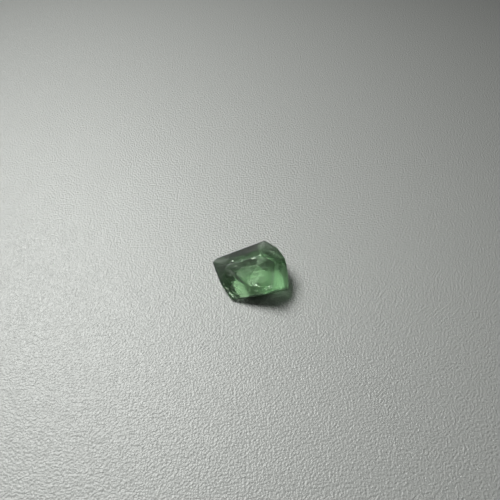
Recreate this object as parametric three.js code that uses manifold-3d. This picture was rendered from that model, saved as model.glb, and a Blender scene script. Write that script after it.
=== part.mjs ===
// Raw calcite: one natural chip of pale green crystal, broken along its cleavages.
// It grew and broke as one piece, so it is one solid.
//
// Units are millimetres. +X runs along the chip's longest extent, +Y towards its back and +Z up.
// The origin is the middle of the chip's box, on the flat face that it rests on.

import * as THREE from "three";
import { ConvexGeometry } from "three/addons/geometries/ConvexGeometry.js";
import { mergeVertices } from "three/addons/utils/BufferGeometryUtils.js";
import Module from "manifold-3d";

// Driving dimensions: the chip's box.
const LENGTH = 22.1;
const DEPTH = 18.2;
const HEIGHT = 10.6;

// Smallest distance at which two vertices stay apart.
const WELD = 1e-4;

// Sides of a scoop's round surface, about its axis and from pole to pole.
const SCOOP_SEGMENTS = 40;
const SCOOP_RINGS = 24;

// Corners where the cleavage faces meet. Each is a share of the box: X and Y from its middle,
// Z from the resting face.
const CORNERS = {
  // Top: the crest is the highest point, and the knees end the tilted top face.
  crest: [0.125, 0, 1],
  left_knee: [-0.31, -0.07, 0.715],
  right_knee: [0.31, -0.095, 0.925],

  // Back rim, from the left tip round to the right-hand toe.
  left_tip_low: [-0.5, 0.14, 0.38],
  left_tip_high: [-0.455, 0.2, 0.405],
  back_peak: [0.195, 0.5, 0.565],
  back_shoulder: [0.362, 0.335, 0.61],
  right_shoulder: [0.466, 0.1, 0.62],
  right_brow: [0.486, -0.037, 0.565],
  right_toe: [0.5, -0.34, 0.32],

  // Front rim: a narrow lip, broken off steeply above an overhang.
  lip_crown_right: [0.274, -0.467, 0.635],
  lip_crown_left: [0.022, -0.417, 0.58],
  lip_right: [0.264, -0.49, 0.53],
  lip_left: [0.07, -0.5, 0.38],

  // Left rim, which runs down from the left tip to the lowest toe in front.
  left_edge_high: [-0.465, 0, 0.32],
  left_edge_mid: [-0.39, -0.215, 0.235],
  left_edge_low: [-0.368, -0.252, 0.245],
  front_toe_inner: [-0.21, -0.472, 0.09],
  front_toe: [-0.236, -0.47, 0.033],

  // Overhang, between the rim and the resting face.
  under_lip_left: [0.22, -0.49, 0.405],
  under_lip_right: [0.494, -0.343, 0.215],
  back_waist_left: [-0.17, 0.31, 0.25],
  back_waist_right: [0.27, 0.28, 0.3],
};

// Outline of the resting face, as shares of the length and depth, anticlockwise from the front.
const RESTING_FACE = [
  [-0.104, -0.407],
  [0.045, -0.385],
  [0.281, -0.319],
  [0.398, -0.231],
  [0.385, -0.088],
  [0.299, 0.049],
  [0.208, 0.187],
  [0.118, 0.242],
  [-0.136, 0.236],
  [-0.190, 0.165],
  [-0.163, -0.060],
];

// Shell-shaped chips broken out of the block. A chip's deepest point is a share of the box like a
// corner, its radius is that of the hollow, and away says which way the sphere's centre lies.
const CHIPS = [
  { place: "top face", at: [0.12, -0.207, 0.778], away: [-0.17, -0.46, 0.87], radius: 22 },
  { place: "back right face", at: [0.278, 0.224, 0.712], away: [0.22, 0.41, 0.88], radius: 6 },
  { place: "right shoulder", at: [0.459, 0.123, 0.59], away: [0.49, 0.28, 0.83], radius: 1.6 },
  { place: "lip, middle", at: [0.138, -0.446, 0.547], away: [-0.19, -0.84, 0.5], radius: 3.2 },
  { place: "lip, right end", at: [0.259, -0.454, 0.62], away: [-0.17, -0.46, 0.87], radius: 2.2 },
  { place: "left face, by the toe", at: [-0.292, -0.348, 0.145], away: [-0.55, -0.68, 0.48], radius: 3 },
  { place: "overhang, back left", at: [-0.263, 0.231, 0.281], away: [-0.38, 0.78, -0.5], radius: 7 },
  { place: "overhang, right", at: [0.395, 0.047, 0.335], away: [0.8, 0.42, -0.43], radius: 5 },
];

const wasm = await Module();
wasm.setup();

/** A share of the box as a point in millimetres. */
function point([x, y, z]) {
  return new THREE.Vector3(x * LENGTH, y * DEPTH, z * HEIGHT);
}

/** A closed three.js geometry as a manifold-3d solid. */
function solid(geometry) {
  const bare = geometry.clone();
  bare.deleteAttribute("normal");
  bare.deleteAttribute("uv");
  const merged = mergeVertices(bare, WELD);
  const vertProperties = new Float32Array(merged.attributes.position.array);
  const triVerts = new Uint32Array(merged.index.array);
  return new wasm.Manifold(new wasm.Mesh({ numProp: 3, vertProperties, triVerts }));
}

/** A manifold-3d solid as a flat-shaded three.js geometry. */
function geometry(body) {
  const mesh = body.getMesh();
  const shape = new THREE.BufferGeometry();
  shape.setAttribute("position", new THREE.BufferAttribute(mesh.vertProperties, 3));
  shape.setIndex(new THREE.BufferAttribute(mesh.triVerts, 1));
  const faceted = shape.toNonIndexed();
  faceted.computeVertexNormals();
  return faceted;
}

/** The unbroken block: the convex solid through every corner, so its sides are flat cleavages. */
function block() {
  const rim = Object.values(CORNERS).map(point);
  const foot = RESTING_FACE.map(([x, y]) => point([x, y, 0]));
  return solid(new ConvexGeometry([...rim, ...foot]));
}

/** The ball whose surface leaves a chip's hollow: it touches the chip's deepest point. */
function scoop({ at, away, radius }) {
  const outward = new THREE.Vector3(...away).normalize();
  const centre = point(at).addScaledVector(outward, radius);
  const ball = new THREE.SphereGeometry(radius, SCOOP_SEGMENTS, SCOOP_RINGS);
  ball.translate(centre.x, centre.y, centre.z);
  return solid(ball);
}

/** The block with its chips broken out. */
function stone() {
  let body = block();
  for (const chip of CHIPS) {
    body = body.subtract(scoop(chip));
  }
  return geometry(body);
}

const rawCalcite = new THREE.Mesh(
  stone(),
  new THREE.MeshStandardMaterial({ color: 0x8ab586, roughness: 0.25, metalness: 0 }),
);
rawCalcite.name = "raw_calcite";

const part = new THREE.Group();
part.add(rawCalcite);

export default part;
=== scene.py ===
"""Raw calcite: one see-through grey-green cleavage chip, with the clouds that are sealed in it.

The chip is one closed surface, worked out as a distance from its inner centre in every direction.
Its flat faces are read from the frame, and steps, ripples, hollows and worn edges are cut into them.
"""

from __future__ import annotations

import logging
import math
from dataclasses import dataclass, field
from enum import Enum

import bpy
import numpy as np
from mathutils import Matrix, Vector


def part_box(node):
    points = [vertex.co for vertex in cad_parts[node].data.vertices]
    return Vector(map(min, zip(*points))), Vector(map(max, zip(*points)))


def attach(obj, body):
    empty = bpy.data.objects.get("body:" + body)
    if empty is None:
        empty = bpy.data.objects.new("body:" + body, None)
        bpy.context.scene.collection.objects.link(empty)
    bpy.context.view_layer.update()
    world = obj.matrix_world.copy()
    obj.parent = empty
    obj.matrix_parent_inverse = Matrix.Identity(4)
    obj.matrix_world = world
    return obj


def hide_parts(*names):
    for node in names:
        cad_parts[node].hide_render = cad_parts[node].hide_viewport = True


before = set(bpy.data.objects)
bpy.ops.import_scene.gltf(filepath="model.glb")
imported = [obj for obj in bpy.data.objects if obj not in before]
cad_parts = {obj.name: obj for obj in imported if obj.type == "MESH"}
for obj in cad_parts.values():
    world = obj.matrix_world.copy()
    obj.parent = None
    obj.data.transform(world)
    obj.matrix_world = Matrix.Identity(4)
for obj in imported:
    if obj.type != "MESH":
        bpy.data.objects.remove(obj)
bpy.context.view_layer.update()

LOG = logging.getLogger("raw_calcite")
MM = 0.001
BODY = "root"
NODE = "raw_calcite"

Pair = tuple[float, float]
Triple = tuple[float, float, float]


# ---------------------------------------------------------------- numbers and noise


def unit(vectors: np.ndarray) -> np.ndarray:
    """Vectors scaled to length 1.

    Args:
        vectors: an array whose last axis is x, y, z.

    Returns:
        An array of the same shape.
    """
    return vectors / np.linalg.norm(vectors, axis=-1, keepdims=True)


def bearing(azimuth: float, slope: float) -> np.ndarray:
    """A direction from two angles.

    Args:
        azimuth: its compass angle, in degrees from +X towards +Y.
        slope: its angle from straight up, in degrees.

    Returns:
        A unit vector.
    """
    turn, tip = math.radians(azimuth), math.radians(slope)
    return np.array([math.cos(turn) * math.sin(tip), math.sin(turn) * math.sin(tip), math.cos(tip)])


def ramp(values: np.ndarray, low: float, high: float) -> np.ndarray:
    """A smooth rise from 0 to 1.

    Args:
        values: any array.
        low: where the rise starts.
        high: where it ends.

    Returns:
        3t^2 - 2t^3, with t running from 0 at low to 1 at high.
    """
    t = np.clip((values - low) / (high - low), 0, 1)
    return t * t * (3 - 2 * t)


def cell_value(cells: np.ndarray, seed: int) -> np.ndarray:
    """A repeatable random number for each cell of a lattice.

    The three whole numbers of a cell are multiplied by large odd numbers and added, and the bits of
    the sum are mixed.

    Args:
        cells: whole numbers, with x, y, z on the last axis.
        seed: picks one of many such lattices.

    Returns:
        Numbers from -1 to 1.
    """
    mixed = cells[..., 0] * 374761393 + cells[..., 1] * 668265263 + cells[..., 2] * 2246822519
    mixed = (mixed + seed * 1274126177) & 0xFFFFFFFF
    mixed = ((mixed ^ (mixed >> 15)) * 2654435761) & 0xFFFFFFFF
    mixed = ((mixed ^ (mixed >> 13)) * 1274126177) & 0xFFFFFFFF
    return (mixed >> 8) / float(1 << 23) - 1


def noise(points: np.ndarray, cell: float, seed: int) -> np.ndarray:
    """Smooth noise: the values of a lattice's eight nearest corners, blended by 3t^2 - 2t^3.

    Args:
        points: places, with x, y, z on the last axis.
        cell: the lattice's spacing, in the unit of the points.
        seed: picks the lattice.

    Returns:
        Numbers from -1 to 1.
    """
    place = points / cell
    low = np.floor(place).astype(np.int64)
    t = place - low
    t = t * t * (3 - 2 * t)
    total = np.zeros(points.shape[:-1])
    for corner in range(8):
        step = np.array([corner & 1, corner >> 1 & 1, corner >> 2 & 1])
        weight = np.prod(np.where(step == 1, t, 1 - t), axis=-1)
        total += weight * cell_value(low + step, seed)
    return total


def fractal(points: np.ndarray, cell: float, seed: int, octaves: int = 4) -> np.ndarray:
    """Noise at several scales, each half as large and half as strong as the one before.

    Args:
        points: places, with x, y, z on the last axis.
        cell: the largest spacing.
        seed: picks the noise.
        octaves: how many scales.

    Returns:
        Numbers from about -1 to 1.
    """
    total = np.zeros(points.shape[:-1])
    for octave in range(octaves):
        total += noise(points, cell / 2**octave, seed + octave) / 2**octave
    return total / 1.5


# ---------------------------------------------------------------- meshes


def sphere_grid(cells: int) -> tuple[np.ndarray, np.ndarray]:
    """Directions all round a point, as six square grids that close into one ball.

    Each side of a cube is a grid of two parameters, the tangents of evenly spaced angles, and each
    grid point is pushed out to the unit ball. Points that two sides share are made one.

    Args:
        cells: squares along each side of the cube.

    Returns:
        The directions, and the corner numbers of each square, anticlockwise from outside.
    """
    tangent = np.tan(np.linspace(-np.pi / 4, np.pi / 4, cells + 1))
    across, up = np.meshgrid(tangent, tangent, indexing="ij")
    corner = np.arange(cells)[:, None] * (cells + 1) + np.arange(cells)[None]
    square = np.stack([corner, corner + cells + 1, corner + cells + 2, corner + 1], -1).reshape(-1, 4)
    points, squares = [], []
    for side in range(6):
        out = np.zeros(3)
        out[side % 3] = 1 if side < 3 else -1
        first = np.roll(out, 1) * out.sum()
        second = np.cross(out, first)
        grid = out + across[..., None] * first + up[..., None] * second
        points.append(grid.reshape(-1, 3))
        squares.append(square + side * (cells + 1) ** 2)
    directions = unit(np.concatenate(points))
    _, kept, shared = np.unique(np.round(directions, 7), axis=0, return_index=True, return_inverse=True)
    return directions[kept], shared.reshape(-1)[np.concatenate(squares)]


def make_mesh(
    name: str, points: np.ndarray, faces: np.ndarray, material: bpy.types.Material, smooth: bool = True
) -> bpy.types.Object:
    """A mesh object at the origin.

    Args:
        name: the piece's name.
        points: its vertices in millimetres.
        faces: its faces' corner numbers, all of one length.
        material: its only material.
        smooth: whether it is smooth shaded, rather than flat.

    Returns:
        The object, linked to the scene.
    """
    mesh = bpy.data.meshes.new(name)
    corners = faces.shape[1]
    mesh.vertices.add(len(points))
    mesh.vertices.foreach_set("co", (points * MM).astype(np.float32).ravel())
    mesh.loops.add(faces.size)
    mesh.loops.foreach_set("vertex_index", faces.astype(np.int32).ravel())
    mesh.polygons.add(len(faces))
    mesh.polygons.foreach_set("loop_start", np.arange(0, faces.size, corners, dtype=np.int32))
    mesh.polygons.foreach_set("loop_total", np.full(len(faces), corners, dtype=np.int32))
    mesh.polygons.foreach_set("use_smooth", np.full(len(faces), smooth))
    mesh.update(calc_edges=True)
    mesh.validate()
    mesh.materials.append(material)
    piece = bpy.data.objects.new(name, mesh)
    bpy.context.scene.collection.objects.link(piece)
    return piece


# ---------------------------------------------------------------- the chip's faces


class Break(Enum):
    """How a face of the chip broke."""

    CLEAN = "a flat cleavage, almost smooth"
    STEPPED = "a cleavage in long steps, parallel to one edge"
    SHELLY = "a curved break with ripples round the point it started from"
    HACKLY = "a rough break"


STEP_STRETCH = 9.0  # how many times longer than wide the noise on a stepped face is
STEP_BEND = 0.9  # how far that noise bends a step, in steps
STEP_EDGE = 0.8  # the share of a step at which it drops
STEP_FINE = 0.12  # the share of a stepped face's depth that fine scoring has
RIPPLE_BEND = 1.6  # how far noise bends a ripple, in ripples
RIPPLE_FADE = 9.0  # the distance in which ripples fade to e^-1 of their height, in millimetres
RIPPLE_SHARE = 0.4  # the share of a shelly face's depth that ripples have, beside its lumps


@dataclass(frozen=True)
class Face:
    """One face of the chip, known by the way it looks.

    Attributes:
        name: where it is.
        azimuth: the compass angle that it faces, in degrees from +X towards +Y.
        slope: its angle from level, in degrees: 0 faces up and 180 faces down.
        kind: how it broke.
        depth: how deep its relief is cut, in millimetres.
        spacing: the distance between its steps, ripples or lumps, in millimetres.
        along: the direction of its steps.
        start: the point that its ripples spread from, in millimetres.
    """

    name: str
    azimuth: float
    slope: float
    kind: Break
    depth: float
    spacing: float
    along: Triple = (1.0, 0.0, 0.0)
    start: Triple = (0.0, 0.0, 0.0)

    def normal(self) -> np.ndarray:
        """The face's outward direction."""
        return bearing(self.azimuth, self.slope)

    def relief(self, points: np.ndarray, normal: np.ndarray, seed: int) -> np.ndarray:
        """How deep the face is cut at some of its points.

        Args:
            points: places on the flat face, in millimetres.
            normal: the flat face's outward direction.
            seed: picks the noise.

        Returns:
            Depths in millimetres, 0 or more.
        """
        if self.kind is Break.STEPPED:
            return self.steps(points, normal, seed)
        if self.kind is Break.SHELLY:
            return self.ripples(points, seed)
        if self.kind is Break.HACKLY:
            return self.depth * np.abs(fractal(points, self.spacing, seed, octaves=5)) * 1.4
        return self.depth * (0.5 + 0.5 * fractal(points, self.spacing, seed))

    def steps(self, points: np.ndarray, normal: np.ndarray, seed: int) -> np.ndarray:
        """Long steps: the depth rises slowly across each step and drops at its end.

        The distance across the steps, bent a little by noise stretched along them, is divided by
        the spacing; the fraction left over is the place on the step, and each step has a random
        share of the depth.

        Args:
            points: places on the flat face, in millimetres.
            normal: the flat face's outward direction.
            seed: picks the noise.

        Returns:
            Depths in millimetres.
        """
        along = np.array(self.along)
        along = unit(along - normal * (along @ normal))
        across = np.cross(normal, along)
        run, side = points @ along, points @ across
        stretched = np.stack([run / STEP_STRETCH, side, np.full_like(run, 0.5)], -1)
        place = side / self.spacing + STEP_BEND * noise(stretched, 1.6 * self.spacing, seed)
        step = np.floor(place)
        share = place - step
        cells = np.stack([step, np.zeros_like(step), np.zeros_like(step)], -1).astype(np.int64)
        height = 0.5 + 0.5 * cell_value(cells, seed + 3)
        rise = ramp(share, 0.0, STEP_EDGE) * (1 - ramp(share, STEP_EDGE, 1.0))
        fine = STEP_FINE * (1 + noise(stretched, 0.35 * self.spacing, seed + 5))
        return self.depth * (height * rise + fine)

    def ripples(self, points: np.ndarray, seed: int) -> np.ndarray:
        """Ripples: a sine of the distance from the start, bent by noise, that fades as it spreads.

        Args:
            points: places on the flat face, in millimetres.
            seed: picks the noise.

        Returns:
            Depths in millimetres: the faded ripples, and lumps of noise for the rest of the depth.
        """
        reach = np.linalg.norm(points - np.array(self.start), axis=-1)
        bent = reach / self.spacing + RIPPLE_BEND * fractal(points, 3.5, seed, octaves=3)
        fade = np.exp(-reach / RIPPLE_FADE)
        lumps = 0.5 + 0.5 * fractal(points, 2.8, seed + 7)
        ripples = RIPPLE_SHARE * fade * (0.5 + 0.5 * np.sin(2 * np.pi * bent))
        return self.depth * (ripples + (1 - RIPPLE_SHARE) * lumps)


FACES = (
    Face("top", -112, 28, Break.SHELLY, 0.1, 1.7, start=(2.0, -6.0, 7.0)),
    Face("left", -126, 56, Break.STEPPED, 0.09, 1.9, along=(7.3, -6.3, -1.4)),
    Face("left tip", 158, 34, Break.CLEAN, 0.05, 1.4),
    Face("right", -22, 48, Break.STEPPED, 0.08, 1.3, along=(-0.8, -6.8, -3.0)),
    Face("right brow", 0, 45, Break.STEPPED, 0.08, 1.0, along=(-0.8, -6.8, -3.0)),
    Face("back right", 50, 28, Break.HACKLY, 0.16, 1.9),
    Face("back left", 127, 31, Break.CLEAN, 0.07, 3.2),
    Face("lip", -92, 67, Break.HACKLY, 0.16, 1.3),
    Face("under front", -78, 121, Break.SHELLY, 0.14, 1.5, start=(3.0, -8.0, 2.0)),
    Face("under right", 14, 111, Break.SHELLY, 0.14, 1.7, start=(9.0, 0.0, 3.0)),
    Face("under right toe", -38, 142, Break.HACKLY, 0.1, 1.2),
    Face("under back right", 51, 113, Break.STEPPED, 0.1, 1.6, along=(-0.7, 0.7, 0.0)),
    Face("under back", 107, 105, Break.SHELLY, 0.14, 1.8, start=(-3.0, 7.0, 4.0)),
    Face("under left", 150, 120, Break.CLEAN, 0.07, 1.2),
    Face("under left edge", -160, 112, Break.HACKLY, 0.1, 1.2),
    Face("resting", 0, 180, Break.CLEAN, 0.03, 1.5),
    Face("under left foot", 176, 150, Break.SHELLY, 0.12, 1.6, start=(-7.0, 3.0, 2.0)),
    Face("left end", -151, 60, Break.STEPPED, 0.08, 1.5, along=(7.3, -6.3, -1.4)),
)


@dataclass(frozen=True)
class Chip:
    """A shell-shaped hollow, broken out of the chip's outside.

    Attributes:
        at: its deepest point, as a share of the box: x and y from the middle, z from the base.
        away: the direction in which it opens.
        radius: the radius of its hollow, in millimetres.
    """

    at: Triple
    away: Triple
    radius: float


CHIPS = (
    Chip((0.12, -0.207, 0.778), (-0.17, -0.46, 0.87), 22),
    Chip((0.278, 0.224, 0.712), (0.22, 0.41, 0.88), 6),
    Chip((0.459, 0.123, 0.59), (0.49, 0.28, 0.83), 1.6),
    Chip((0.138, -0.446, 0.547), (-0.19, -0.84, 0.5), 3.2),
    Chip((0.259, -0.454, 0.62), (-0.17, -0.46, 0.87), 2.2),
    Chip((-0.292, -0.348, 0.145), (-0.55, -0.68, 0.48), 3),
    Chip((-0.263, 0.231, 0.281), (-0.38, 0.78, -0.5), 7),
    Chip((0.395, 0.047, 0.335), (0.8, 0.42, -0.43), 5),
)

SKYWARD = (-0.23, -0.13, 0.964)  # up, and a little to the left and the front

NICKS = (
    Chip((0.078, -0.42, 0.583), SKYWARD, 1.5),
    Chip((0.074, -0.462, 0.474), (-0.16, -0.3, 0.94), 0.7),
    Chip((0.198, -0.464, 0.557), (-0.16, -0.3, 0.94), 0.8),
    Chip((0.257, -0.457, 0.615), SKYWARD, 0.9),
    Chip((-0.362, -0.246, 0.243), SKYWARD, 0.6),
    Chip((0.142, 0.01, 0.968), SKYWARD, 1.1),
    Chip((0.047, -0.02, 0.93), SKYWARD, 1.2),
    Chip((-0.103, -0.016, 0.824), SKYWARD, 1.0),
    Chip((-0.232, 0.016, 0.697), SKYWARD, 0.9),
)


@dataclass(frozen=True)
class Groove:
    """A shallow flute along an edge of the chip, where one face drops below the edge.

    Attributes:
        start: one end of the edge, as a share of the box.
        end: its other end.
        azimuth: the compass angle of the face that drops, as in Face.
        slope: its angle from level.
        drop: the flute's depth, in millimetres.
        wall: how far from the edge it is deepest.
        fade: how far from there it takes to rise again.
    """

    start: Triple
    end: Triple
    azimuth: float
    slope: float
    drop: float
    wall: float
    fade: float

    def facing(self) -> np.ndarray:
        """The outward direction of the face that drops."""
        return bearing(self.azimuth, self.slope)

    def depth(self, points: np.ndarray, start: np.ndarray, end: np.ndarray) -> np.ndarray:
        """How deep the flute cuts at some points.

        With s the distance from the edge across the face and t the share of the way along it, the
        depth is the drop times a smooth rise of s to the wall, times e^(-(s - wall) / fade) beyond
        it, times a smooth rise and fall of t at the ends. Noise varies it along the edge.

        Args:
            points: places in millimetres.
            start: the edge's start in millimetres.
            end: its end.

        Returns:
            Depths in millimetres.
        """
        along = unit(end - start)
        across = np.cross(self.facing(), along)
        across *= -np.sign(across[2])
        side, run = (points - start) @ across, (points - start) @ along / np.linalg.norm(end - start)
        side = side + 0.12 * fractal(points, 2.5, seed=91, octaves=3)
        shape = ramp(side, 0, self.wall) * np.exp(-np.maximum(side - self.wall, 0) / self.fade)
        ends = ramp(run, 0.0, 0.25) * (1 - ramp(run, 0.8, 1.05))
        return self.drop * shape * ends * (0.8 + 0.2 * noise(points, 3.0, seed=92))


GROOVES = (
    Groove(
        start=(-0.31, -0.07, 0.715), end=(0.022, -0.417, 0.58), azimuth=-126, slope=56,
        drop=0.6, wall=1.5, fade=1.4,
    ),
)


@dataclass(frozen=True)
class Swell:
    """A low rounded rise on a face, left between shallow breaks.

    Attributes:
        at: its middle on the outside, as a share of the box.
        height: how far it stands out, in millimetres.
        width: the distance from its middle at which e^-1 of its height is left, in millimetres.
    """

    at: Triple
    height: float
    width: float

    def rise(self, points: np.ndarray, middle: np.ndarray) -> np.ndarray:
        """Its height at some points: the height times e^-(the square of distance over width)."""
        return self.height * np.exp(-((points - middle) ** 2).sum(-1) / self.width**2)


SWELLS = (
    Swell((0.032, 0.155, 0.775), height=0.25, width=2.0),
    Swell((-0.158, -0.262, 0.589), height=0.2, width=1.8),
)


@dataclass
class Outside:
    """The chip's outer surface, as a distance from its inner centre in every direction.

    Attributes:
        node: the CAD node that it follows.
        centre_height: the inner centre's height, as a share of the box.
        sharpness: the power that blends neighbouring faces; a higher one gives a sharper edge.
        edge_wear: how deep the edges are bitten, in millimetres.
        chip_grain: how rough the chips' hollows are, in millimetres.
        edge_width: how far from an edge the bites go, as a share of the distance to the centre.
        overlap: a face gets its relief where its share is over this part of the largest.
        least_area: the least area of a CAD triangle that sets a plane, in square millimetres.
        slack: how far in front of such a plane a vertex may still lie, in millimetres.
        low: the box's lowest corner, in millimetres.
        size: the box's size, in millimetres.
        centre: the inner centre, in millimetres.
        normals: the flat faces' outward directions, one to a row.
        reaches: their distances from the inner centre, in millimetres.
    """

    node: str = NODE
    centre_height: float = 0.42
    sharpness: float = 90.0
    edge_wear: float = 0.1
    chip_grain: float = 0.03
    edge_width: float = 0.02
    overlap: float = 0.93
    least_area: float = 0.15
    slack: float = 0.004
    low: np.ndarray = field(init=False)
    size: np.ndarray = field(init=False)
    centre: np.ndarray = field(init=False)
    normals: np.ndarray = field(init=False)
    reaches: np.ndarray = field(init=False)

    def __post_init__(self) -> None:
        """Reads the box and the flat faces from the frame."""
        low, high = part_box(self.node)
        self.low = np.array(low) / MM
        self.size = np.array(high) / MM - self.low
        self.centre = self.low + self.size * (0.5, 0.5, self.centre_height)
        self.normals, self.reaches = self.read_faces()

    def place(self, share: Triple) -> np.ndarray:
        """A share of the box as a point in millimetres."""
        return self.low + self.size * (np.array(share) + (0.5, 0.5, 0))

    def read_faces(self) -> tuple[np.ndarray, np.ndarray]:
        """The planes of the unbroken block: those of the CAD triangles that no vertex lies in front of.

        Returns:
            The planes' outward directions, and their distances from the inner centre.
        """
        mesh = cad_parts[self.node].data
        mesh.calc_loop_triangles()
        corners = np.empty(len(mesh.vertices) * 3)
        mesh.vertices.foreach_get("co", corners)
        corners = corners.reshape(-1, 3) / MM
        triangles = np.empty(len(mesh.loop_triangles) * 3, dtype=np.int32)
        mesh.loop_triangles.foreach_get("vertices", triangles)
        a, b, c = corners[triangles.reshape(-1, 3)].transpose(1, 0, 2)
        cross = np.cross(b - a, c - a)
        large = np.linalg.norm(cross, axis=-1) / 2 > self.least_area
        normals = unit(cross[large])
        offsets = (normals * a[large]).sum(-1)
        supporting = (corners @ normals.T).max(0) < offsets + self.slack
        planes = np.column_stack([normals, offsets])[supporting]
        _, kept = np.unique(np.round(planes, 2), axis=0, return_index=True)
        planes = planes[kept]
        return planes[:, :3], planes[:, 3] - planes[:, :3] @ self.centre

    def reach(self, directions: np.ndarray, detailed: bool = True) -> np.ndarray:
        """The surface's distance from the inner centre.

        For each face, the share q of its distance that a step of 1 along the direction covers is
        the direction's part along the face's normal, over the face's distance. The surface lies
        at 1 / (sum of q^p)^(1/p), which is the nearest face, blended with its neighbours at edges.

        Args:
            directions: unit vectors, one to a row.
            detailed: whether relief, chips and worn edges are cut in.

        Returns:
            Distances in millimetres.
        """
        toward = np.maximum(directions @ self.normals.T, 0)
        shares = toward / self.reaches
        if detailed:
            shares = self.with_relief(directions, toward, shares)
        largest = shares.max(1)
        blend = ((shares / largest[:, None]) ** self.sharpness).sum(1)
        distance = 1 / (largest * blend ** (1 / self.sharpness))
        if detailed:
            distance = self.with_grooves(directions, distance)
            distance = self.with_chips(directions, distance)
            distance = self.with_wear(directions, distance, shares, largest)
        return distance

    def with_relief(self, directions: np.ndarray, toward: np.ndarray, shares: np.ndarray) -> np.ndarray:
        """The faces' shares after each face is cut by the relief of the named face nearest to it.

        Args:
            directions: unit vectors, one to a row.
            toward: the direction's part along each face's normal, one column to a face.
            shares: the same over the face's distance.

        Returns:
            The shares with the relief taken off the faces' distances.
        """
        named = np.array([face.normal() for face in FACES])
        largest = shares.max(1)
        cut = shares.copy()
        for index, normal in enumerate(self.normals):
            face = FACES[int((named @ normal).argmax())]
            near = np.flatnonzero(shares[:, index] > self.overlap * largest)
            if len(near) == 0:
                continue
            points = self.centre + directions[near] / shares[near, index][:, None]
            depth = face.relief(points, normal, 11 + 17 * FACES.index(face))
            cut[near, index] = toward[near, index] / (self.reaches[index] - depth)
        return cut

    def with_grooves(self, directions: np.ndarray, distance: np.ndarray) -> np.ndarray:
        """The distances after the flutes along the edges are cut and the swells are raised.

        Args:
            directions: unit vectors, one to a row.
            distance: the surface's distance along each.

        Returns:
            The new distances.
        """
        points = self.centre + directions * distance[:, None]
        for groove in GROOVES:
            depth = groove.depth(points, self.place(groove.start), self.place(groove.end))
            distance = distance - depth * ramp(directions @ groove.facing(), 0.2, 0.5)
        for swell in SWELLS:
            distance = distance + swell.rise(points, self.place(swell.at))
        return distance

    def with_chips(self, directions: np.ndarray, distance: np.ndarray) -> np.ndarray:
        """The distances after the chips' hollows are cut: where a ray enters a hollow's ball, it ends.

        Args:
            directions: unit vectors, one to a row.
            distance: the surface's distance along each.

        Returns:
            The new distances, with a little noise on the hollows.
        """
        for chip in CHIPS + NICKS:
            outward = unit(np.array(chip.away))
            ball = self.place(chip.at) + outward * chip.radius - self.centre
            middle = directions @ ball
            square = middle**2 - ball @ ball + chip.radius**2
            enters = middle - np.sqrt(np.maximum(square, 0))
            hollow = (square > 0) & (enters < distance) & (middle > 0)
            points = self.centre + directions * distance[:, None]
            rough = self.chip_grain * (1 + fractal(points, 0.9, seed=71, octaves=3))
            distance = np.where(hollow, np.minimum(enters - rough + self.chip_grain, distance), distance)
        return distance

    def with_wear(
        self, directions: np.ndarray, distance: np.ndarray, shares: np.ndarray, largest: np.ndarray
    ) -> np.ndarray:
        """The distances after small bites along the edges, where two faces are about as near.

        Args:
            directions: unit vectors, one to a row.
            distance: the surface's distance along each.
            shares: the faces' shares.
            largest: the largest share in each row.

        Returns:
            The new distances.
        """
        second = np.partition(shares, -2, axis=1)[:, -2]
        edge = np.exp(-(((1 - second / largest) / self.edge_width) ** 2))
        points = self.centre + directions * distance[:, None]
        bite = ramp(fractal(points, 1.1, seed=41), -0.1, 0.7)
        return distance - self.edge_wear * edge * bite

    def points(self, directions: np.ndarray) -> np.ndarray:
        """The surface's points in millimetres, none of them under the resting face."""
        points = self.centre + directions * self.reach(directions)[:, None]
        points[:, 2] = np.maximum(points[:, 2], self.low[2])
        return points


# ---------------------------------------------------------------- what is sealed in the chip


class Filling(Enum):
    """What the cavities of a healed crack look like; the dark kind is painted shade."""

    MILKY = "dull and pale"
    PEARLY = "bright, like the cracks along a cleavage"
    # painted shade: near-black cracks that darken the chip where it looks dark from how light falls
    DARK_SHADE = "dark, with dirt in the cracks"


SEALED_SHARE = 0.93  # how far out towards the flat faces a veil's cavities go
VEIL_WAVE = 0.4  # how far slow noise lifts a veil, in millimetres
VEIL_STREAK = 0.7  # how much a veil's patches are drawn out along its length, from 0 to 1
SWIRL_RINGS = 2.2  # how tightly a swirl's patches repeat outwards
SWIRL_ROUND = 0.8  # how tightly they repeat round its middle
SWIRL_TWIST = 0.5  # how far they wind outwards as they go round
SKIN_STREAK = 0.85  # how much a skin's patches are drawn out along its grain, from 0 to 1
SKIN_RIM = 0.015  # how near another face, as a share of the distance, a skin starts to thin
SKIN_COVER = 0.8  # the least crystal over a skin's crack, as a share of the inset
PATCH_RISE = 0.6  # how much more noise takes a skin from its thinnest to its densest


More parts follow.
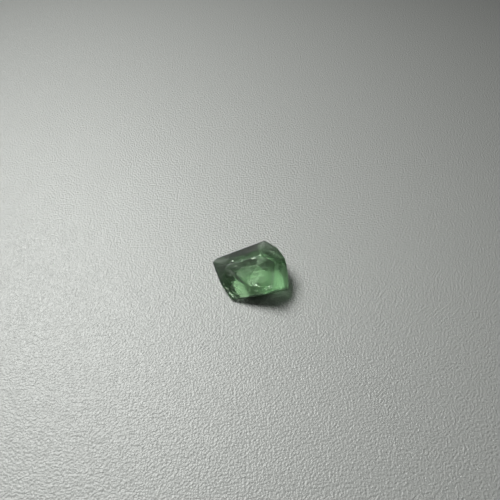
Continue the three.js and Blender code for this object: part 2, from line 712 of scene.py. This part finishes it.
@dataclass(frozen=True)
class Veil:
    """A healed crack: a curved sheet of tiny flat cavities, sealed in the crystal.

    Attributes:
        name: the piece's name.
        middle: its middle, as a share of the box.
        facing: the direction that its sheet faces.
        reach: its half length, half width and half thickness, in millimetres.
        bend: how far its sheet bows along the direction that it faces, in millimetres.
        count: how many cavities are tried.
        patch: the size of its denser patches, in millimetres.
        seed: picks its random places.
        turn: how far its length is turned about the direction that it faces, in degrees.
        cover: the share that is kept in its thinnest patches.
        filling: what its cavities look like.
        leaning: the way its cavities face, where that isn't the way its sheet does.
        swirl: whether its patches are drawn out round its middle, and not along its length.
    """

    name: str
    middle: Triple
    facing: Triple
    reach: Triple
    bend: float
    count: int
    patch: float
    seed: int
    turn: float = 0.0
    cover: float = 0.0
    filling: Filling = Filling.PEARLY
    leaning: Triple | None = None
    swirl: bool = False

    def places(self, outside: "Outside") -> tuple[np.ndarray, np.ndarray]:
        """The cavities' middles and the way each of them faces.

        A point of the sheet is given by two parameters along its length and width, drawn so that
        it thins towards the rim; it is lifted by the bend times the square of its distance from
        the middle, by slow noise and by a share of the thickness. Noise thins it into patches,
        and points outside the chip or close to its surface are left out.

        Args:
            outside: the chip's surface.

        Returns:
            One row to a cavity, in both arrays.
        """
        draw = np.random.default_rng(self.seed)
        face = unit(np.array(self.facing))
        level = unit(np.cross((0.0, 1.0, 0.001), face))
        turn = math.radians(self.turn)
        long = math.cos(turn) * level + math.sin(turn) * np.cross(face, level)
        axes = np.stack([long, np.cross(face, long), face])
        flat = draw.normal(0, 0.5, (self.count, 2))
        lift = self.bend * (flat**2).sum(1) + draw.normal(0, 0.5, self.count) * self.reach[2]
        local = np.column_stack([flat * self.reach[:2], lift])
        points = outside.place(self.middle) + local @ axes
        points += VEIL_WAVE * np.outer(noise(points, 2.4, self.seed), face)
        away = points - outside.centre
        distance = np.linalg.norm(away, axis=1)
        inside = distance < SEALED_SHARE * outside.reach(away / distance[:, None], detailed=False)
        streaked = points - VEIL_STREAK * np.outer(points @ axes[0], axes[0])
        if self.swirl:
            round_middle = np.arctan2(local[:, 1], local[:, 0]) * self.patch
            radius = np.hypot(local[:, 0], local[:, 1])
            outwards = SWIRL_RINGS * radius + SWIRL_TWIST * round_middle
            streaked = np.column_stack([outwards, SWIRL_ROUND * round_middle, local[:, 2]])
        patches = fractal(streaked, self.patch, self.seed + 1)
        dense = self.cover + (1 - self.cover) * ramp(patches, -0.3, 0.5)
        slope = 2 * self.bend * flat / np.array(self.reach[:2])
        common = face if self.leaning is None else unit(np.array(self.leaning))
        facing = unit(common - slope @ axes[:2])
        kept = inside & (draw.random(self.count) < dense)
        return points[kept], facing[kept]


@dataclass(frozen=True)
class Skin:
    """A skin of fine cracks just inside some of the chip's faces: pale streaks, or dark cracks that are
    painted shade.

    Attributes:
        name: the piece's name.
        faces: the names of its faces.
        inset: how far inside the surface it lies, in millimetres.
        count: how many cracks are tried, all round the chip.
        patch: the size of its denser patches, in millimetres.
        seed: picks its random places.
        cover: the share that is kept in its thinnest patches.
        filling: what its cracks look like.
        bare: the noise, from -1 to 1, up to which it stays at its thinnest.
        grain: the direction in which its patches are drawn out.
        leaning: the way its cracks face, where that isn't the way its faces do.
    """

    name: str
    faces: tuple[str, ...]
    inset: float
    count: int
    patch: float
    seed: int
    cover: float = 0.4
    filling: Filling = Filling.DARK_SHADE
    bare: float = -0.4
    grain: Triple = (0.0, 0.0, 0.0)
    leaning: Triple | None = None

    def places(self, outside: "Outside") -> tuple[np.ndarray, np.ndarray]:
        """The cracks' middles and the way each of them faces.

        Directions are drawn evenly all round. Each crack lies on one of them, the inset short of
        the outside, and faces as the outside does there. Those on other faces are left out, and
        the skin thins towards its faces' edges and, by noise, into patches. Under a hollow, a
        crack is carried inwards until the crystal covers it.

        Args:
            outside: the chip's surface.

        Returns:
            One row to a crack, in both arrays.
        """
        draw = np.random.default_rng(self.seed)
        directions = unit(draw.normal(0, 1, (self.count, 3)))
        shares = np.maximum(directions @ outside.normals.T, 0) / outside.reaches
        nearest, largest = shares.argmax(1), shares.max(1)
        facing = outside.normals[nearest]
        named = (outside.normals @ np.array([face.normal() for face in FACES]).T).argmax(1)
        wanted = np.isin(named, [index for index, face in enumerate(FACES) if face.name in self.faces])
        depth = self.inset * (1 + 0.5 * draw.random(self.count)) / (directions * facing).sum(1)
        points = outside.centre + directions * (1 / largest - depth)[:, None]
        others = np.where(wanted, 0, shares).max(1)
        rim = ramp(1 - others / largest, 0.0, SKIN_RIM)
        drawn_out = points - SKIN_STREAK * np.outer(points @ np.array(self.grain), self.grain)
        patches = fractal(drawn_out, self.patch, self.seed + 1)
        dense = self.cover + (1 - self.cover) * ramp(patches, self.bare, self.bare + PATCH_RISE)
        kept = wanted[nearest] & (draw.random(self.count) < dense * rim)
        if self.leaning is not None:
            facing = np.tile(unit(np.array(self.leaning)), (self.count, 1))
        away = directions[kept]
        lengths = np.linalg.norm(points[kept] - outside.centre, axis=1)
        covered = outside.reach(away) - SKIN_COVER * self.inset
        return outside.centre + away * np.minimum(lengths, covered)[:, None], facing[kept]


@dataclass(frozen=True)
class Spot:
    """The place of one cluster of cracks.

    Attributes:
        at: its middle on the outside, as a share of the box.
        length: its half length, in millimetres.
        width: its half width.
        turn: the angle of its length from +X towards +Y, in degrees.
    """

    at: Triple
    length: float
    width: float
    turn: float


FEWEST_CRACKS = 4  # in one cluster


@dataclass(frozen=True)
class CrackClusters:
    """Tight clusters of cracks just under the outside: the dark ones are painted shade, and the pearly
    ones glint in the lamps.

    Attributes:
        name: the piece's name.
        spots: where the clusters are.
        leaning: the way that the cracks face.
        inset: how far under the outside they lie, in millimetres.
        density: how many cracks there are to a square millimetre.
        seed: picks their random places.
        filling: what the cracks look like.
    """

    name: str
    spots: tuple[Spot, ...]
    leaning: Triple
    inset: float
    density: float
    seed: int
    filling: Filling = Filling.PEARLY

    def places(self, outside: "Outside") -> tuple[np.ndarray, np.ndarray]:
        """The cracks' middles and the way each of them faces.

        Each cluster is drawn level, thinner towards its rim, and is then carried along the lines to
        the inner centre until it lies the inset, or up to twice that, under the outside.

        Args:
            outside: the chip's surface.

        Returns:
            One row to a crack, in both arrays.
        """
        draw = np.random.default_rng(self.seed)
        rows = []
        for spot in self.spots:
            number = max(FEWEST_CRACKS, int(self.density * spot.length * spot.width * 4))
            level = draw.normal(0, 0.5, (number, 2)) * (spot.length, spot.width)
            cosine, sine = math.cos(math.radians(spot.turn)), math.sin(math.radians(spot.turn))
            spread = np.column_stack([level @ (cosine, -sine), level @ (sine, cosine), np.zeros(number)])
            rows.append(outside.place(spot.at) + spread)
        away = unit(np.concatenate(rows) - outside.centre)
        reach = outside.reach(away)
        points = outside.centre + away * (reach - self.inset * (1 + draw.random(len(away))))[:, None]
        return points, np.tile(unit(np.array(self.leaning)), (len(away), 1))


OCTANTS = ((0, 1, 2), (1, 3, 2), (3, 4, 2), (4, 0, 2), (1, 0, 5), (3, 1, 5), (4, 3, 5), (0, 4, 5))


@dataclass(frozen=True)
class Cavities:
    """Tiny flat cavities: each is a closed eight-sided grain, thin along the way its sheet faces.

    Attributes:
        loose: how far each turns from its sheet.
        smallest: the least half width, in millimetres.
        largest: the greatest half width.
        flatness: the thickness as a share of the width.
    """

    loose: float
    smallest: float = 0.04
    largest: float = 0.12
    flatness: float = 0.12

    def grains(self, places: np.ndarray, facing: np.ndarray, seed: int) -> tuple[np.ndarray, np.ndarray]:
        """The grains' vertices and triangles, as whole arrays.

        Each grain's six vertices lie at plus and minus a half width along three square axes: the
        way that it faces, shaken by a random vector, and two across it.

        Args:
            places: the middles, one to a row.
            facing: the way that each one's sheet faces.
            seed: picks the random sizes and turns.

        Returns:
            The vertices and the triangles' corner numbers.
        """
        draw = np.random.default_rng(seed)
        count = len(places)
        face = unit(facing + draw.normal(0, self.loose, (count, 3)))
        long = unit(np.cross(face, draw.normal(0, 1, (count, 3))))
        wide = np.cross(face, long)
        half = self.smallest + (self.largest - self.smallest) * draw.random(count) ** 2
        stretch = 1 + draw.random(count)
        arms = np.stack([long * (half * stretch)[:, None], wide * half[:, None]], 1)
        arms = np.concatenate([arms, (face * (half * self.flatness)[:, None])[:, None]], 1)
        vertices = np.concatenate([arms, -arms], 1) + places[:, None]
        triangles = np.array(OCTANTS)[None] + 6 * np.arange(count)[:, None, None]
        return vertices.reshape(-1, 3), triangles.reshape(-1, 3)


Sealed = Veil | Skin | CrackClusters

SEALED: tuple[Sealed, ...] = (
    Veil(
        "veil_table", middle=(0.03, -0.12, 0.6), facing=(-0.176, -0.435, 0.883),
        reach=(5.0, 3.0, 0.3), bend=0.3, count=500, patch=1.8, seed=200,
        turn=10.0, leaning=(-0.12, -0.2, 0.97),
    ),
    Veil(
        "veil_glow", middle=(0.07, -0.23, 0.33), facing=(-0.147, -0.076, 0.986),
        reach=(2.9, 2.1, 0.3), bend=0.3, count=6500, patch=1.2, seed=201,
        turn=30.0, cover=0.9, swirl=True,
    ),
    Veil(
        "veil_swirl", middle=(0.075, -0.28, 0.47), facing=(-0.15, -0.25, 0.957),
        reach=(2.4, 1.7, 0.4), bend=0.4, count=1200, patch=0.8, seed=221,
        turn=20.0, cover=0.1, leaning=(-0.24, -0.23, 0.944), swirl=True,
    ),
    Veil(
        "veil_toe", middle=(0.0, -0.34, 0.12), facing=(-0.36, -0.32, 0.88),
        reach=(4.0, 2.0, 0.15), bend=0.1, count=11000, patch=1.6, seed=202,
        turn=-42.0, cover=0.6,
    ),
    Veil(
        "veil_back", middle=(0.29, 0.22, 0.45), facing=(0.302, 0.36, 0.883),
        reach=(2.6, 1.4, 0.2), bend=0.1, count=1200, patch=0.9, seed=204,
        turn=-30.0, leaning=(-0.178, 0.102, 0.979),
    ),
    # painted shade: a dark sheet near the base at the back darkens the back strip
    Veil(
        "painted_shade_back", middle=(0.03, 0.2, 0.03), facing=(0.0, 0.0, 1.0),
        reach=(8.0, 1.8, 0.1), bend=0.1, count=3000, patch=1.4, seed=207,
        cover=0.6, filling=Filling.DARK_SHADE,
    ),
    # painted shade: these three skins of dark cracks under the back and left undersides darken the back
    # strip, the crest and the left tip
    Skin("skin_back", ("under back", "under left"), inset=0.3, count=55000, patch=2.0, seed=208),
    Skin("skin_left", ("under left foot",), inset=0.7, count=36000, patch=1.6, seed=209, cover=0.3),
    Skin("skin_back_right", ("under back right",), inset=0.3, count=20000, patch=1.6, seed=210, cover=0.1),
    # painted shade: dark cracks under the front undersides darken the band under the lip and keep light
    # out of the cast shadow
    Skin(
        "skin_front", ("under front", "under right toe"), inset=0.4, count=150000, patch=2.2, seed=206,
        cover=0.8,
    ),
    # painted shade: dark cracks under the right underside darken the cast shadow on the right
    Skin("skin_right", ("under right",), inset=0.4, count=28000, patch=1.6, seed=211, cover=0.1),
    Skin(
        "streaks_table", ("top",), inset=1.0, count=7000, patch=0.6, seed=212, cover=0.0,
        filling=Filling.MILKY, bare=-0.1, grain=(0.77, 0.63, 0.1),
    ),
    Skin(
        "streaks_left", ("left", "left end"), inset=0.8, count=16000, patch=0.6, seed=218, cover=0.0,
        filling=Filling.MILKY, bare=-0.1, grain=(-0.53, -0.25, -0.81),
    ),
    Skin(
        "streaks_right", ("right",), inset=0.5, count=50000, patch=0.5, seed=213, cover=0.0,
        filling=Filling.MILKY, bare=-0.1, grain=(-0.08, -0.9, -0.42), leaning=(-0.15, -0.1, 0.98),
    ),
    # painted shade: dark cracks along the right rim of the top face draw its dark edge
    CrackClusters(
        "painted_shade_rim",
        (
            Spot((0.29, -0.1, 0.89), 1.4, 1.1, -85.0),
            Spot((0.301, -0.19, 0.79), 1.3, 1.1, -95.0),
            Spot((0.298, -0.29, 0.7), 1.3, 1.0, -100.0),
            Spot((0.27, -0.39, 0.65), 1.3, 0.9, -115.0),
        ),
        leaning=(0.3, -0.35, 0.88), inset=0.5, density=9.0, seed=219, filling=Filling.DARK_SHADE,
    ),
    # painted shade: dark cracks along the left edge draw its dark outline
    CrackClusters(
        "painted_shade_left",
        (
            Spot((-0.49, 0.1, 0.35), 1.2, 0.35, -75.0),
            Spot((-0.46, 0.0, 0.31), 1.2, 0.35, -70.0),
            Spot((-0.42, -0.12, 0.27), 1.2, 0.35, -70.0),
            Spot((-0.38, -0.23, 0.22), 1.0, 0.35, -70.0),
            Spot((-0.3, -0.37, 0.12), 1.2, 0.35, -50.0),
            Spot((-0.24, -0.46, 0.05), 0.8, 0.35, -40.0),
        ),
        leaning=(-0.6, -0.4, 0.6), inset=0.27, density=50.0, seed=222, filling=Filling.DARK_SHADE,
    ),
    # painted shade: dark cracks along the crest darken it
    CrackClusters(
        "painted_shade_crest",
        (
            Spot((-0.4, 0.24, 0.42), 1.4, 0.4, 35.0),
            Spot((-0.25, 0.31, 0.47), 1.6, 0.4, 30.0),
            Spot((-0.08, 0.38, 0.51), 1.6, 0.4, 28.0),
            Spot((0.08, 0.45, 0.54), 1.6, 0.4, 26.0),
            Spot((0.19, 0.48, 0.56), 0.9, 0.5, 0.0),
            Spot((0.28, 0.42, 0.59), 1.4, 0.4, -45.0),
        ),
        leaning=(-0.3, 0.5, 0.8), inset=0.32, density=95.0, seed=223, filling=Filling.DARK_SHADE,
    ),
    # painted shade: dark cracks at the lip's lower right draw its dark rim
    CrackClusters(
        "painted_shade_foot",
        (
            Spot((0.3, -0.45, 0.48), 1.2, 0.3, 20.0),
            Spot((0.38, -0.41, 0.38), 1.2, 0.3, 28.0),
            Spot((0.46, -0.36, 0.33), 1.2, 0.3, 35.0),
        ),
        leaning=(0.3, -0.8, 0.5), inset=0.15, density=60.0, seed=220, filling=Filling.DARK_SHADE,
    ),
    CrackClusters(
        "sparkles_lip",
        (
            Spot((0.078, -0.421, 0.599), 0.9, 0.3, -15.0),
            Spot((0.074, -0.466, 0.481), 0.4, 0.3, 0.0),
            Spot((0.198, -0.47, 0.566), 0.4, 0.25, 0.0),
            Spot((0.259, -0.463, 0.633), 0.4, 0.4, 0.0),
        ),
        leaning=(-0.232, -0.373, 0.898), inset=0.16, density=190.0, seed=214,
    ),
    CrackClusters(
        "sparkles_ridge",
        (
            Spot((-0.232, 0.021, 0.709), 0.35, 0.15, 20.0),
            Spot((-0.103, -0.017, 0.836), 0.3, 0.15, 20.0),
            Spot((0.047, -0.021, 0.941), 0.5, 0.2, 0.0),
            Spot((0.142, 0.017, 0.976), 0.3, 0.3, 0.0),
            Spot((0.22, -0.039, 0.955), 0.4, 0.2, -20.0),
        ),
        leaning=(-0.25, -0.2, 0.95), inset=0.12, density=130.0, seed=215,
    ),
    CrackClusters(
        "sparkles_edge",
        (
            Spot((-0.362, -0.252, 0.256), 0.2, 0.15, 0.0),
            Spot((-0.313, -0.317, 0.214), 0.7, 0.25, -50.0),
            Spot((-0.264, -0.392, 0.152), 0.8, 0.3, -50.0),
            Spot((-0.232, -0.438, 0.12), 0.6, 0.3, -50.0),
        ),
        leaning=(-0.386, -0.365, 0.847), inset=0.14, density=110.0, seed=216,
    ),
)


# ---------------------------------------------------------------- finishes


MIX_FIRST, MIX_SECOND, MIX_RESULT = 6, 7, 2  # the colour sockets of a Mix node


@dataclass
class Nodes:
    """A material's node tree, with short ways to add to it."""

    material: bpy.types.Material

    @classmethod
    def named(cls, name: str) -> "Nodes":
        """A new material with its Principled and output nodes."""
        material = bpy.data.materials.new(name)
        material.use_nodes = True
        return cls(material)

    @property
    def shader(self) -> bpy.types.Node:
        """The Principled node."""
        return self.material.node_tree.nodes["Principled BSDF"]

    @property
    def output(self) -> bpy.types.Node:
        """The output node."""
        return self.material.node_tree.nodes["Material Output"]

    def add(self, kind: str, **values: object) -> bpy.types.Node:
        """A new node of a kind, with attributes set by name."""
        node = self.material.node_tree.nodes.new(kind)
        for key, value in values.items():
            setattr(node, key, value)
        return node

    def link(self, source: bpy.types.NodeSocket, target: bpy.types.NodeSocket) -> None:
        """Joins one node's output to another's input."""
        self.material.node_tree.links.new(source, target)

    def bump(self, height: bpy.types.NodeSocket, strength: float, distance_mm: float) -> None:
        """A bump on the shader.

        Args:
            height: the pattern that is raised.
            strength: how strongly it shows, from 0 to 1.
            distance_mm: how high it is.
        """
        bump = self.add("ShaderNodeBump")
        bump.inputs["Strength"].default_value = strength
        bump.inputs["Distance"].default_value = distance_mm * MM
        self.link(height, bump.inputs["Height"])
        self.link(bump.outputs["Normal"], self.shader.inputs["Normal"])

    def object_noise(self, size_mm: float, detail: float, distortion: float = 0.0) -> bpy.types.NodeSocket:
        """Noise on Object coordinates.

        Args:
            size_mm: the size of its largest lumps.
            detail: how many finer scales it has.
            distortion: how much it swirls.

        Returns:
            The noise's value, from 0 to 1.
        """
        place = self.add("ShaderNodeTexCoord")
        texture = self.add("ShaderNodeTexNoise")
        texture.inputs["Scale"].default_value = 1 / (size_mm * MM)
        texture.inputs["Detail"].default_value = detail
        texture.inputs["Distortion"].default_value = distortion
        self.link(place.outputs["Object"], texture.inputs["Vector"])
        return texture.outputs["Fac"]

    def spread(
        self, value: bpy.types.NodeSocket, low: float, high: float, to_low: float, to_high: float
    ) -> bpy.types.NodeSocket:
        """A value's range from low to high, carried to another range and held at its ends.

        Args:
            value: the value.
            low: where its range starts.
            high: where its range ends.
            to_low: what the start becomes.
            to_high: what the end becomes.

        Returns:
            The new value.
        """
        node = self.add("ShaderNodeMapRange")
        for key, number in zip(("From Min", "From Max", "To Min", "To Max"), (low, high, to_low, to_high)):
            node.inputs[key].default_value = number
        self.link(value, node.inputs["Value"])
        return node.outputs["Result"]


@dataclass(frozen=True)
class CrystalFinish:
    """Clear grey-green crystal with a frosted, finely scored surface.

    Attributes:
        name: the material's name.
        ior: how strongly it bends light.
        clearness: how see-through it is, from 0 to 1.
        tint: the colour that it lets through.
        density: how strongly it takes the other colours out, to a metre.
        frost: the least and greatest roughness of its surface.
        score: how deep its surface is scored, in millimetres.
    """

    name: str = "calcite_crystal"
    ior: float = 1.486
    clearness: float = 1.0
    tint: Triple = (0.53, 0.88, 0.51)
    density: float = 110.0
    frost: Pair = (0.28, 0.38)
    score: float = 0.05

    def material(self) -> bpy.types.Material:
        """Plain transmission, IOR and absorption, with noise in the roughness and the bump.

        Returns:
            The material.
        """
        nodes = Nodes.named(self.name)
        shader = nodes.shader
        shader.inputs["Base Color"].default_value = (1, 1, 1, 1)
        shader.inputs["IOR"].default_value = self.ior
        shader.inputs["Transmission Weight"].default_value = self.clearness
        patches = nodes.object_noise(2.5, detail=5, distortion=1.2)
        nodes.link(nodes.spread(patches, 0.35, 0.7, *self.frost), shader.inputs["Roughness"])
        scores = nodes.object_noise(0.35, detail=6, distortion=0.4)
        nodes.bump(scores, strength=0.5, distance_mm=self.score)
        absorption = nodes.add("ShaderNodeVolumeAbsorption")
        absorption.inputs["Color"].default_value = (*self.tint, 1)
        absorption.inputs["Density"].default_value = self.density
        nodes.link(absorption.outputs["Volume"], nodes.output.inputs["Volume"])
        return nodes.material


@dataclass(frozen=True)
class CavityFinish:
    """The dull look of tiny healed cavities.

    Attributes:
        name: the material's name.
        colour: its colour in the palest patches.
        roughness: how matt it is, from 0 to 1.
        shade: the brightness of its darkest patches, as a share of the palest.
    """

    name: str = "calcite_cavities"
    colour: Triple = (0.96, 0.98, 0.95)
    roughness: float = 0.55
    shade: float = 0.92

    def material(self) -> bpy.types.Material:
        """One colour that is a little darker in some patches.

        Returns:
            The material.
        """
        nodes = Nodes.named(self.name)
        shader = nodes.shader
        shader.inputs["Roughness"].default_value = self.roughness
        tone = nodes.add("ShaderNodeMix", data_type="RGBA")
        nodes.link(nodes.object_noise(1.5, detail=3), tone.inputs["Factor"])
        tone.inputs[MIX_FIRST].default_value = (*self.colour, 1)
        tone.inputs[MIX_SECOND].default_value = (*(self.shade * channel for channel in self.colour), 1)
        nodes.link(tone.outputs[MIX_RESULT], shader.inputs["Base Color"])
        return nodes.material


@dataclass(frozen=True)
class PearlFinish:
    """The glint of open cleavage cracks: they send light back like frosted metal.

    Attributes:
        name: the material's name.
        colour: the colour of its reflection.
        roughness: how frosted it is, from 0 to 1.
        unevenness: how far its roughness goes above and below that.
    """

    name: str = "calcite_cracks"
    colour: Triple = (0.82, 0.98, 0.78)
    roughness: float = 0.36
    unevenness: float = 0.06

    def material(self) -> bpy.types.Material:
        """A bright pale green reflection, a little rougher in some patches.

        Returns:
            The material.
        """
        nodes = Nodes.named(self.name)
        shader = nodes.shader
        shader.inputs["Base Color"].default_value = (*self.colour, 1)
        shader.inputs["Metallic"].default_value = 1
        smoothest, roughest = self.roughness - self.unevenness, self.roughness + self.unevenness
        rough = nodes.spread(nodes.object_noise(1.5, detail=3), 0.3, 0.7, smoothest, roughest)
        nodes.link(rough, shader.inputs["Roughness"])
        return nodes.material


@dataclass(frozen=True)
class FloorFinish:
    """A plain pale floor, satin, with a fine pebbled grain.

    Attributes:
        name: the material's name.
        colour: its colour.
        roughness: how matt it is, from 0 to 1.
        sheen: how metallic its gloss is, from 0 to 1.
        grain: the size of its pebbles, in millimetres.
        grain_height: how high they stand, in millimetres.
    """

    name: str = "pale_floor"
    colour: Triple = (0.785, 0.81, 0.77)
    roughness: float = 0.42
    sheen: float = 0.07
    grain: float = 0.55
    grain_height: float = 0.28

    def material(self) -> bpy.types.Material:
        """A pale colour, with a fine bump.

        Returns:
            The material.
        """
        nodes = Nodes.named(self.name)
        shader = nodes.shader
        shader.inputs["Base Color"].default_value = (*self.colour, 1)
        shader.inputs["Roughness"].default_value = self.roughness
        shader.inputs["Metallic"].default_value = self.sheen
        pebbles = nodes.object_noise(self.grain, detail=1)
        nodes.bump(pebbles, strength=1.0, distance_mm=self.grain_height)
        return nodes.material


# ---------------------------------------------------------------- the stone


@dataclass
class Stone:
    """The chip and what is sealed in it.

    Attributes:
        outside: the chip's outer surface.
        finish: its look.
        cells: how many squares its surface has along each side of the cube that it is made from.
        painted_shade: the near-black green of the dark cracks, which is painted shade.
        aligned: how far the cavities of a pearly sheet turn from it.
        tumbled: how far those of a milky sheet, or of the dark cracks of painted shade, do.
    """

    outside: Outside = field(default_factory=Outside)
    finish: CrystalFinish = field(default_factory=CrystalFinish)
    cells: int = 128
    # painted shade: the colour of the dark cracks
    painted_shade: Triple = (0.045, 0.08, 0.05)
    aligned: float = 0.1
    tumbled: float = 0.3

    def build(self) -> list[bpy.types.Object]:
        """Returns:
            The pieces.
        """
        return [self.crystal(), *self.sealed()]

    def sealed(self) -> list[bpy.types.Object]:
        """The clouds, veils and streaks that are sealed in the crystal, and the dark cracks that paint
        shade into it.

        Returns:
            A piece for each entry of SEALED.
        """
        looks = {
            Filling.MILKY: (CavityFinish().material(), Cavities(self.tumbled)),
            Filling.PEARLY: (PearlFinish().material(), Cavities(self.aligned)),
            # dark cavities in the colour of painted shade
            Filling.DARK_SHADE: (
                CavityFinish("calcite_painted_shade", self.painted_shade, roughness=0.7).material(),
                Cavities(self.tumbled),
            ),
        }
        pieces = []
        for sheet in SEALED:
            material, shape = looks[sheet.filling]
            vertices, triangles = shape.grains(*sheet.places(self.outside), sheet.seed + 50)
            piece = make_mesh(sheet.name, vertices, triangles, material, smooth=False)
            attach(piece, BODY)
            pieces.append(piece)
        return pieces

    def crystal(self) -> bpy.types.Object:
        """The chip's outer surface, in place of its CAD node.

        Returns:
            The piece.
        """
        directions, squares = sphere_grid(self.cells)
        piece = make_mesh("crystal", self.outside.points(directions), squares, self.finish.material())
        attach(piece, BODY)
        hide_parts(NODE)
        return piece


# ---------------------------------------------------------------- the studio


@dataclass(frozen=True)
class Lamp:
    """A round soft lamp with a limited beam.

    Attributes:
        name: the lamp's name.
        over: the point on the floor that its place is measured from, in millimetres.
        azimuth: the way to it from that point, in degrees from +Y towards -X.
        elevation: its height over the floor from there, in degrees.
        distance: how far it is from there, in millimetres.
        size: its diameter, in millimetres.
        power: its power, in watts.
        aim: the point on the floor that it faces.
        beam: the full angle of its beam, in degrees.
    """

    name: str
    over: Pair
    azimuth: float
    elevation: float
    distance: float
    size: float
    power: float
    aim: Pair
    beam: float

    def build(self) -> None:
        """Builds the lamp where its angles say."""
        data = bpy.data.lights.new(self.name, "AREA")
        data.shape = "DISK"
        data.size = self.size * MM
        data.energy = self.power
        data.spread = math.radians(self.beam)
        lamp = bpy.data.objects.new(self.name, data)
        turn, tip = math.radians(self.azimuth), math.radians(self.elevation)
        away = Vector((-math.sin(turn) * math.cos(tip), math.cos(turn) * math.cos(tip), math.sin(tip)))
        lamp.location = (Vector((*self.over, 0)) + away * self.distance) * MM
        facing = lamp.location - Vector((*self.aim, 0)) * MM
        lamp.rotation_euler = facing.to_track_quat("Z", "Y").to_euler()
        bpy.context.scene.collection.objects.link(lamp)


@dataclass(frozen=True)
class Studio:
    """Floor, light and camera.

    Attributes:
        floor_drop: how far the floor lies under the stone, in millimetres.
        floor_side: the floor's side, in millimetres.
        elevation: how far the camera looks down, in degrees.
        distance: how far it is from what it looks at, in millimetres.
        aim: the point that it looks at, in millimetres.
        lens: its focal length, in millimetres.
        sensor: the width of its sensor, in millimetres.
        key: the main lamp, behind the stone and to its left.
        fill: a weak lamp with a narrow beam, for the floor in front and on the left.
        sky: the colour of the surroundings.
        sky_strength: how bright they are.
    """

    floor_drop: float = 0.06
    floor_side: float = 3000.0
    elevation: float = 52.0
    distance: float = 156.8
    aim: Triple = (0.0, 10.1, 0.0)
    lens: float = 36.864
    sensor: float = 36.0
    key: Lamp = Lamp(
        "key", over=(0.0, 0.0), azimuth=49.0, elevation=51.5, distance=400.0,
        size=195.0, power=0.3, aim=(0.0, 0.0), beam=100.0,
    )
    fill: Lamp = Lamp(
        "fill", over=(-30.0, -48.0), azimuth=38.5, elevation=68.0, distance=500.0,
        size=120.0, power=0.016, aim=(-45.0, -55.0), beam=36.0,
    )
    sky: Triple = (0.85, 0.88, 0.87)
    sky_strength: float = 0.02

    def build(self) -> None:
        """Builds the floor, the lights and the camera."""
        self.build_floor()
        self.build_camera()
        self.key.build()
        self.fill.build()
        self.build_sky()

    def build_floor(self) -> None:
        """A wide square sheet just under the stone."""
        half = self.floor_side / 2
        grid = np.array([[-half, -half], [half, -half], [half, half], [-half, half]])
        points = np.column_stack([grid, np.full(4, -self.floor_drop)])
        sheet = make_mesh("floor", points, np.array([[0, 1, 2, 3]]), FloorFinish().material())

    def build_camera(self) -> None:
        """The camera, level from side to side and tipped down by its elevation."""
        data = bpy.data.cameras.new("camera")
        data.sensor_width = self.sensor
        data.lens = self.lens
        data.clip_start = MM
        camera = bpy.data.objects.new("camera", data)
        tip = math.radians(self.elevation)
        back = Vector((0, -math.cos(tip), math.sin(tip)))
        camera.location = (Vector(self.aim) + back * self.distance) * MM
        camera.rotation_euler = (math.pi / 2 - tip, 0, 0)
        bpy.context.scene.collection.objects.link(camera)
        bpy.context.scene.camera = camera

    def build_sky(self) -> None:
        """Even, faint surroundings."""
        world = bpy.data.worlds.new("surround")
        world.use_nodes = True
        back = world.node_tree.nodes["Background"]
        back.inputs["Color"].default_value = (*self.sky, 1)
        back.inputs["Strength"].default_value = self.sky_strength
        bpy.context.scene.world = world


def main() -> None:
    """Builds the studio and the stone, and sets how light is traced."""
    logging.basicConfig(level=logging.INFO, format="%(name)s: %(message)s")
    Studio().build()
    for piece in Stone().build():
        LOG.info("%s: %d faces", piece.name, len(piece.data.polygons))
    scene = bpy.context.scene
    scene.view_settings.view_transform = "Standard"
    scene.cycles.max_bounces = 24
    scene.cycles.diffuse_bounces = 12
    scene.cycles.glossy_bounces = 16
    scene.cycles.transmission_bounces = 24
    scene.cycles.transparent_max_bounces = 32


if __name__ == "__main__":
    main()
